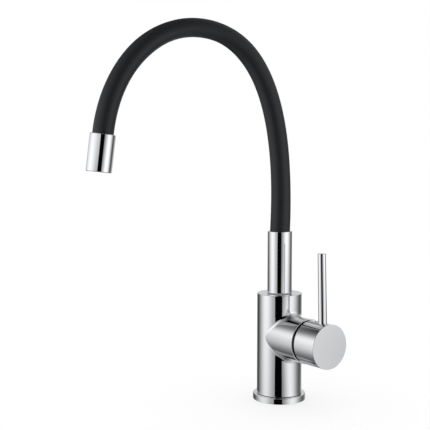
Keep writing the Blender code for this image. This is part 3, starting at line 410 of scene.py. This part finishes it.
def make_body():
    section = [(FOOT_R, 0), (FOOT_R, BODY_BOTTOM), (BODY_R, BODY_BOTTOM), (BODY_R, BODY_TOP)]
    body = turned("body_casting_polished", section, solid=True)
    round_rims(body, [(BODY_R, BODY_TOP, 0.5), (BODY_R, BODY_BOTTOM, 0.25)])
    carve(body, make_side_housing(), operation="UNION")
    bore = [(CAVITY_R, CAVITY_START), (CAVITY_R, MOUTH_START), (MOUTH_R, MOUTH_START), (MOUTH_R, MOUTH_END)]
    tools = [
        turned("cartridge_bore", bore, LEVER_AXIS, ALONG, MIDDLE_ROUND, solid=True),
        drilled(SOCKET_R, SOCKET_FLOOR, SOCKET_END, DECK, UP, MIDDLE_ROUND),
        drilled(CHANNEL_R, 0, OUTLET_LENGTH, Vector((OUTLET_X, 0, OUTLET_Z)) * MM, UP),
        drilled(PORT_R, OUTLET_X, PORT_END, LEVER_AXIS + Vector((0, 0, OUTLET_RISE)) * MM, ALONG),
        drilled(STUD_R, UNDER_FOOT, STUD_DEPTH, Vector((STUD_X, 0, 0)) * MM, UP),
        drilled(LOCK_R, LOCK_START, LOCK_END, Vector((0, 0, LOCK_Z)) * MM, BACK),
    ]
    inlet = [
        (INLET_R, UNDER_FOOT), (INLET_R, INLET_DEPTH), (CHANNEL_R, INLET_DEPTH), (CHANNEL_R, INLET_TOP),
    ]
    for side in (INLET_SIDE, -INLET_SIDE):
        foot, port = Vector((INLET_X, side, 0)) * MM, Vector((0, side, LEVER_Z - INLET_DROP)) * MM
        tools.append(turned("inlet", inlet, foot, UP, SMALL_ROUND, solid=True))
        tools.append(drilled(PORT_R, INLET_X, PORT_END, port, ALONG))
    carve(body, *tools)
    round_rims(body, [(HOUSING_R, HOUSING_END, 0.7)], LEVER_AXIS, ALONG)
    polish(body, CHROME, "root", "body_casting")


def sphere_arc(sphere, from_radius, to_radius, steps):
    """Section points on the outer half of a sphere about the pivot, from one radius to another."""
    first, last = math.asin(from_radius / sphere), math.asin(to_radius / sphere)
    angles = [first + (last - first) * step / steps for step in range(steps + 1)]
    return [(sphere * math.sin(angle), PIVOT_X + sphere * math.cos(angle)) for angle in angles]


def make_trim_sleeve():
    """The dome behind the knob."""
    outer = sphere_arc(TRIM_SPHERE, TRIM_R, TRIM_HOLE, TRIM_STEPS)
    inner = sphere_arc(TRIM_SPHERE - TRIM_WALL, TRIM_HOLE, TRIM_BORE, TRIM_STEPS)
    section = [(TRIM_BORE, TRIM_REAR), (TRIM_R, TRIM_REAR), *outer, *inner]
    sleeve = turned("trim_sleeve_dome", section, LEVER_AXIS, ALONG, MIDDLE_ROUND)
    # The dome's black colour is painted shade for the gap behind the knob
    polish(sleeve, TRIM_PAINTED_SHADE, "root", "trim_sleeve")


# Lever


def make_knob():
    bowl = sphere_arc(BOWL_SPHERE, BOWL_RIM, BOWL_TIP, BOWL_STEPS)
    section = [(KNOB_R, KNOB_FRONT), (KNOB_R, KNOB_REAR), (BOWL_RIM, KNOB_REAR), *bowl[1:]]
    knob = turned("knob_turned", section, LEVER_AXIS, ALONG, solid=True)
    rims = [(KNOB_R, KNOB_FRONT, 0.5), (KNOB_R, KNOB_REAR, 0.5)]
    round_rims(knob, rims, LEVER_AXIS, ALONG, segments=KNOB_RIM_STEPS)
    socket_low = (STEM_SOCKET_START, -STEM_SOCKET_HALF, LEVER_Z - STEM_SOCKET_HALF)
    socket_high = (STEM_SOCKET_END, STEM_SOCKET_HALF, LEVER_Z + STEM_SOCKET_HALF)
    pin_seat = [
        (PIN_HOLE_R, PIN_HOLE_FLOOR), (PIN_HOLE_R, PIN_SEAT),
        (PIN_SEAT_R, PIN_SEAT), (PIN_SEAT_R, KNOB_CLEAR),
    ]
    grub_foot = LEVER_AXIS + Vector((GRUB_X, 0, 0)) * MM
    grub_way = Vector((-math.sin(GRUB_SLANT), 0, math.cos(GRUB_SLANT)))
    carve(
        knob,
        box("stem_socket", socket_low, socket_high),
        turned("pin_seat", pin_seat, PIN_START, PIN_WAY, SMALL_ROUND, solid=True),
        drilled(GRUB_R, GRUB_START, KNOB_CLEAR, grub_foot, grub_way),
    )
    polish(knob, CHROME, "lever", "knob")


def make_lever_pin():
    section = [
        (SHANK_R, PIN_FOOT - SHANK_LENGTH), (SHANK_R, PIN_FOOT), (PIN_FOOT_R, PIN_FOOT), (PIN_R, PIN_TOP),
    ]
    pin = turned("lever_pin_turned", section, PIN_START, PIN_WAY, PIN_ROUND, solid=True)
    round_rims(pin, [(PIN_R, PIN_TOP, 0.5), (PIN_FOOT_R, PIN_FOOT, 0.2)], PIN_START, PIN_WAY)
    polish(pin, CHROME, "lever", "lever_pin")


# Spout


def make_collar():
    section = [
        (COLLAR_BORE, COLLAR_BOTTOM), (COLLAR_R, COLLAR_BOTTOM), (COLLAR_R, COLLAR_TOP),
        (LIP_BORE, COLLAR_TOP), (LIP_BORE, COLLAR_TOP - LIP_DEPTH), (COLLAR_BORE, COLLAR_TOP - LIP_DEPTH),
    ]
    collar = turned("spout_collar_turned", section)
    rims = [(COLLAR_R, COLLAR_TOP, 0.4), (LIP_BORE, COLLAR_TOP, 0.2), (COLLAR_R, COLLAR_BOTTOM, 0.1)]
    round_rims(collar, rims)
    polish(collar, CHROME, "spout", "spout_collar")


def make_swivel_washer():
    """It all but fills the gap, so that the gap reads as one fine grey line."""
    section = [
        (WASHER_BORE, WASHER_BOTTOM), (WASHER_R, WASHER_BOTTOM),
        (WASHER_R, WASHER_TOP), (WASHER_BORE, WASHER_TOP),
    ]
    washer = turned("swivel_washer_cut", section, steps=MIDDLE_ROUND)
    round_rims(washer, [(WASHER_R, WASHER_BOTTOM, 0.1), (WASHER_R, WASHER_TOP, 0.1)])
    polish(washer, WASHER, "spout", "swivel_washer")


def hose_line():
    """The hose's middle line from the collar's mouth to the nozzle's, as (reach, 0, height) points."""
    mouth, crown, end = (Vector((reach, 0, height)) for reach, height in ((0, COLLAR_TOP), CROWN, NOZZLE))
    rise = Vector((-math.sin(RISER_LEAN), 0, math.cos(RISER_LEAN))) * RISER_HANDLE
    lift = Vector((-math.sin(NOZZLE_LEAN), 0, math.cos(NOZZLE_LEAN))) * DROP_HANDLE
    before_crown = crown - Vector((CROWN_REAR_HANDLE, 0, 0))
    after_crown = crown + Vector((CROWN_FRONT_HANDLE, 0, 0))
    riser = interpolate_bezier(mouth, mouth + rise, before_crown, crown, LINE_POINTS)
    drop = interpolate_bezier(crown, after_crown, end + lift, end, LINE_POINTS)
    return riser + drop[1:]


LINE = hose_line()
LENGTHS = [0.0]
for here, following in zip(LINE, LINE[1:]):
    LENGTHS.append(LENGTHS[-1] + (following - here).length)
HOSE_LENGTH = LENGTHS[-1]


def along_hose(distance):
    """The point at a distance along the line, and its direction, going straight on past both ends."""
    lean = Vector((math.sin(NOZZLE_LEAN), 0, -math.cos(NOZZLE_LEAN)))
    if distance <= 0:
        return LINE[0] + UP * distance, UP
    if distance >= HOSE_LENGTH:
        return LINE[-1] + lean * (distance - HOSE_LENGTH), lean
    after = next(index for index, length in enumerate(LENGTHS) if length >= distance)
    share = (distance - LENGTHS[after - 1]) / (LENGTHS[after] - LENGTHS[after - 1])
    way = LINE[min(after + 1, len(LINE) - 1)] - LINE[max(after - 2, 0)]
    return LINE[after - 1].lerp(LINE[after], share), way.normalized()


def in_room(point):
    """A point (reach, across, height) of the spout's plane, in metres in the room."""
    return (REACH * point.x + ACROSS * point.y + UP * point.z) * MM


def drawn_tube(name, stations, sides, wall=0.0):
    """A round bar swept through (point, radius) stations, hollowed to a wall where one is given."""
    bpy.ops.object.select_all(action="DESELECT")
    bpy.ops.curve.primitive_bezier_curve_add()
    made = start(bpy.context.object, name)
    made.data.splines.clear()
    line = made.data.splines.new("POLY")
    line.points.add(len(stations) - 1)
    for point, (place, radius) in zip(line.points, stations):
        point.co = (*in_room(place), 1)
        point.radius = radius * MM
    made.data.bevel_depth = 1.0
    made.data.bevel_resolution = (sides - 4) // 2       # a round bevel has 4 sides and 2 more per step
    made.data.use_fill_caps = wall == 0
    bpy.ops.object.convert(target="MESH")
    made = bpy.context.object
    bpy.ops.object.mode_set(mode="EDIT")
    tidy_faces()
    if wall:
        hollow = made.modifiers.new("wall", "SOLIDIFY")
        hollow.thickness, hollow.offset = wall * MM, -1.0
        bpy.ops.object.modifier_apply(modifier=hollow.name)
    return made


def ease(share):
    """A smooth step from 0 to 1."""
    share = min(max(share, 0), 1)
    return share * share * (3 - 2 * share)


def sleeve_radius(place, reach):
    """The sleeve swells over the fittings at its ends and is stretched thin over the crown.

    The thinning grows over one span towards the crown, and starts CROWN_FADE spans from it.
    """
    swell = END_SWELL * (1 - ease(min(place, HOSE_LENGTH - place) / END_TAPER))
    return SLEEVE_R + swell - CROWN_THINNING * ease(CROWN_FADE - abs(reach - CROWN[0]) / CROWN_SPAN)


def spaced(first, last, step):
    """Even steps of about this length, from first to last."""
    count = round((last - first) / step)
    return [first + (last - first) * index / count for index in range(count + 1)]


def make_hose():
    bending = ("spout", "head", REACH * BEND_FROM * MM, REACH * BEND_TO * MM)
    places = spaced(SLEEVE_START - COLLAR_TOP, HOSE_LENGTH + SLEEVE_INSERT, SLEEVE_SPACING)
    points = [along_hose(place)[0] for place in places]
    stations = [(point, sleeve_radius(place, point.x)) for place, point in zip(places, points)]
    sleeve = drawn_tube("hose_sleeve_silicone", stations, SLEEVE_ROUND, SLEEVE_WALL)
    polish(sleeve, SILICONE, bending, "hose_sleeve")

    coil = []
    side = Vector((0, 1, 0))
    for place in spaced(COIL_START - COLLAR_TOP, HOSE_LENGTH + COIL_INSERT, COIL_PITCH / COIL_STEPS):
        middle, way = along_hose(place)
        angle = math.tau * place / COIL_PITCH
        arm = side.cross(way) * math.cos(angle) + side * math.sin(angle)
        coil.append((middle + arm * COIL_R, WIRE_R))
    spring = drawn_tube("support_spring_coil", coil, WIRE_ROUND)
    polish(spring, STEEL, bending, "support_spring")

    places = spaced(TUBE_START - COLLAR_TOP, HOSE_LENGTH + TUBE_INSERT, TUBE_SPACING)
    stations = [(along_hose(place)[0], TUBE_R) for place in places]
    tube = drawn_tube("inner_tube_drawn", stations, TUBE_ROUND, TUBE_WALL)
    polish(tube, TUBE, bending, "inner_tube")


def make_nozzle():
    foot = in_room(Vector((NOZZLE[0], 0, NOZZLE[1])))
    section = [
        (LIP_BORE, 0), (NOZZLE_R, 0), (NOZZLE_R, NOZZLE_LENGTH),
        (NOZZLE_BORE, NOZZLE_LENGTH), (NOZZLE_BORE, LIP_DEPTH), (LIP_BORE, LIP_DEPTH),
    ]
    shell = turned("nozzle_shell_turned", section, foot, NOZZLE_WAY)
    rims = [(NOZZLE_R, 0, 0.9), (NOZZLE_R, NOZZLE_LENGTH, 0.8), (NOZZLE_BORE, NOZZLE_LENGTH, 0.2)]
    round_rims(shell, rims, foot, NOZZLE_WAY)
    polish(shell, CHROME, "head", "nozzle_shell")


# Room: a white floor, even light, and a light tent and a black flag that only reflections see

CAMERA_PLACE = (0.670, -0.5633, 0.2522)
CAMERA_AZIMUTH, CAMERA_DROP = math.radians(144.30), math.radians(4.10)
CAMERA_REACH = (0.01, 60)
FOCAL_PIXELS, PICTURE_PIXELS, SENSOR_WIDTH = 856.4, 430, 36.0
# Where the camera stands, in degrees round the column. A turn is counted from there.
CAMERA_TURN = -40.06

FLOOR_SIZE, PAPER_SHADE, PAPER_GLOW = 40, 0.35, 0.66
TENT_R, TENT_MIDDLE, TENT_SEGMENTS, TENT_RINGS = 0.9, (0, 0, 0.07), 96, 48
# Soft boxes on the tent: turn, tilt above level, half width, half height, all in degrees, and
# strength. The last one is a grey card, which takes light away from what the others give there.
SOFT_BOXES = [
    (-72, 9, 43, 49, 1.45),
    (-27, 20, 31, 7, 0.3),
    (60, -25, 34, 13, 0.95),
    (66, 5, 38, 18, 1.45),
    (136, 63, 87, 21, 0.65),
    (83, -60, 90, 27, 0.85),
    (172, -5, 26, 17, 1.1),
    (-148, 19, 64, 16, 1.1),
    (-151, 39, 22, 6, 1.35),
    (93, 35, 66, 17, 0.8),
    (-14, 5, 17, 41, 0.25),
    (36, -11, 26, 6, 0.5),
    (162, -38, 27, 18, 0.5),
    (-117, -75, 46, 16, 0.65),
    (-136, 25, 90, 28, -0.6),
]
# The black flag in front of the camera: its distance, its panels across, its faint glow, and the
# turns of its two sides at each height
FLAG_R, FLAG_PANELS, FLAG_GLOW = 0.62, 12, 0.002
FLAG_ROWS = [
    (-0.50, -22.5, 13.5),
    (0.10, -22.5, 13.5),
    (0.16, -18.0, 14.0),
    (0.30, -18.0, 14.0),
    (0.40, -22.5, 13.5),
    (0.95, -22.5, 13.5),
]


def bare_material(name):
    """A material with nothing in its node tree, and that tree."""
    made = bpy.data.materials.new(name)
    made.use_nodes = True
    made.node_tree.nodes.clear()
    return made, made.node_tree


def make_floor():
    """White paper: it takes shadows, and the camera sees it lifted to white."""
    bpy.ops.object.select_all(action="DESELECT")
    bpy.ops.mesh.primitive_plane_add(size=FLOOR_SIZE)
    floor = start(bpy.context.object, "floor")
    white, tree = bare_material("white_paper_floor")
    seen = node(tree, "LightPath").outputs["Is Camera Ray"]
    paper = node(tree, "BsdfDiffuse", {"Color": (PAPER_SHADE,) * 3 + (1,)})
    glow = node(tree, "Emission", {"Strength": result(tree, "MULTIPLY", seen, PAPER_GLOW)})
    both = node(tree, "AddShader", {0: paper.outputs[0], 1: glow.outputs[0]})
    node(tree, "OutputMaterial", {"Surface": both.outputs[0]})
    floor.data.materials.append(white)
    floor.visible_glossy = False
    return floor


def tent_level(tree):
    """The sum of all soft boxes in a direction from the tent's middle, each fading off like a bell curve."""
    place = node(tree, "TexCoord").outputs["Object"]
    way = node(tree, "VectorMath", {0: place, 1: TENT_MIDDLE}, operation="SUBTRACT").outputs["Vector"]
    way = node(tree, "VectorMath", {0: way}, operation="NORMALIZE").outputs["Vector"]
    from_camera = {"Vector": way, "Angle": -math.radians(CAMERA_TURN)}
    way = node(tree, "VectorRotate", from_camera, rotation_type="Z_AXIS").outputs["Vector"]
    parts = node(tree, "SeparateXYZ", {"Vector": way}).outputs
    turn = result(tree, "ARCTAN2", parts["Y"], parts["X"])
    turn = result(tree, "MULTIPLY", turn, math.degrees(1))
    tilt = result(tree, "MULTIPLY", result(tree, "ARCSINE", parts["Z"]), math.degrees(1))
    level = 0.0
    for box_turn, box_tilt, half_width, half_height, strength in SOFT_BOXES:
        off = result(tree, "SUBTRACT", turn, box_turn)
        off = result(tree, "WRAP", off, 180.0, -180.0)
        off = result(tree, "DIVIDE", off, half_width)
        off = result(tree, "MULTIPLY", off, off)
        up = result(tree, "SUBTRACT", tilt, box_tilt)
        up = result(tree, "DIVIDE", up, half_height)
        fall = result(tree, "MULTIPLY_ADD", up, up, off)
        soft = result(tree, "EXPONENT", result(tree, "MULTIPLY", fall, -1.0))
        level = result(tree, "MULTIPLY_ADD", soft, strength, level)
    return level


def make_tent():
    bpy.ops.object.select_all(action="DESELECT")
    bpy.ops.mesh.primitive_uv_sphere_add(
        segments=TENT_SEGMENTS, ring_count=TENT_RINGS, radius=TENT_R, location=TENT_MIDDLE
    )
    tent = start(bpy.context.object, "light_tent")
    cloth, tree = bare_material("light_tent_cloth")
    glow_only(tree, tent_level(tree))
    cloth.cycles.emission_sampling = "NONE"
    tent.data.materials.append(cloth)
    return tent


def glow_only(tree, strength):
    glow = node(tree, "Emission", {"Strength": strength})
    node(tree, "OutputMaterial", {"Surface": glow.outputs[0]})


def make_flag():
    shape = bmesh.new()
    rows = []
    for height, left, right in FLAG_ROWS:
        turns = [left + (right - left) * index / FLAG_PANELS for index in range(FLAG_PANELS + 1)]
        angles = [math.radians(turn + CAMERA_TURN) for turn in turns]
        rows.append([shape.verts.new((FLAG_R * math.cos(a), FLAG_R * math.sin(a), height)) for a in angles])
    for here, above in zip(rows, rows[1:]):
        for index in range(FLAG_PANELS):
            shape.faces.new((here[index], here[index + 1], above[index + 1], above[index]))
    flag = from_shape("black_flag", shape)
    velvet, tree = bare_material("black_velvet")
    glow_only(tree, FLAG_GLOW)
    velvet.cycles.emission_sampling = "NONE"
    flag.data.materials.append(velvet)
    return flag


def make_room():
    floor = make_floor()
    tent = make_tent()
    flag = make_flag()
    for seen_in_chrome in (tent, flag):
        seen_in_chrome.visible_camera = seen_in_chrome.visible_diffuse = seen_in_chrome.visible_shadow = False
        seen_in_chrome.visible_transmission = seen_in_chrome.visible_volume_scatter = False

    world = bpy.data.worlds.new("even_white_light")
    bpy.context.scene.world = world
    world.use_nodes = True
    backing = world.node_tree.nodes["Background"]
    backing.inputs["Color"].default_value = (1, 1, 1, 1)
    backing.inputs["Strength"].default_value = 1.0


def make_camera():
    view = bpy.data.cameras.new("camera")
    camera = bpy.data.objects.new("camera", view)
    bpy.context.scene.collection.objects.link(camera)
    camera.location = CAMERA_PLACE
    ahead = Vector((math.cos(CAMERA_AZIMUTH), math.sin(CAMERA_AZIMUTH), 0))
    towards = ahead * math.cos(CAMERA_DROP) - UP * math.sin(CAMERA_DROP)
    camera.rotation_euler = towards.to_track_quat("-Z", "Y").to_euler()
    view.sensor_width = SENSOR_WIDTH
    view.lens = FOCAL_PIXELS / PICTURE_PIXELS * SENSOR_WIDTH
    view.clip_start, view.clip_end = CAMERA_REACH
    bpy.context.scene.camera = camera


make_camera()
make_base_ring()
make_body()
make_trim_sleeve()
make_knob()
make_lever_pin()
make_collar()
make_swivel_washer()
make_hose()
make_nozzle()
make_room()

bpy.context.scene.view_settings.view_transform = "Standard"
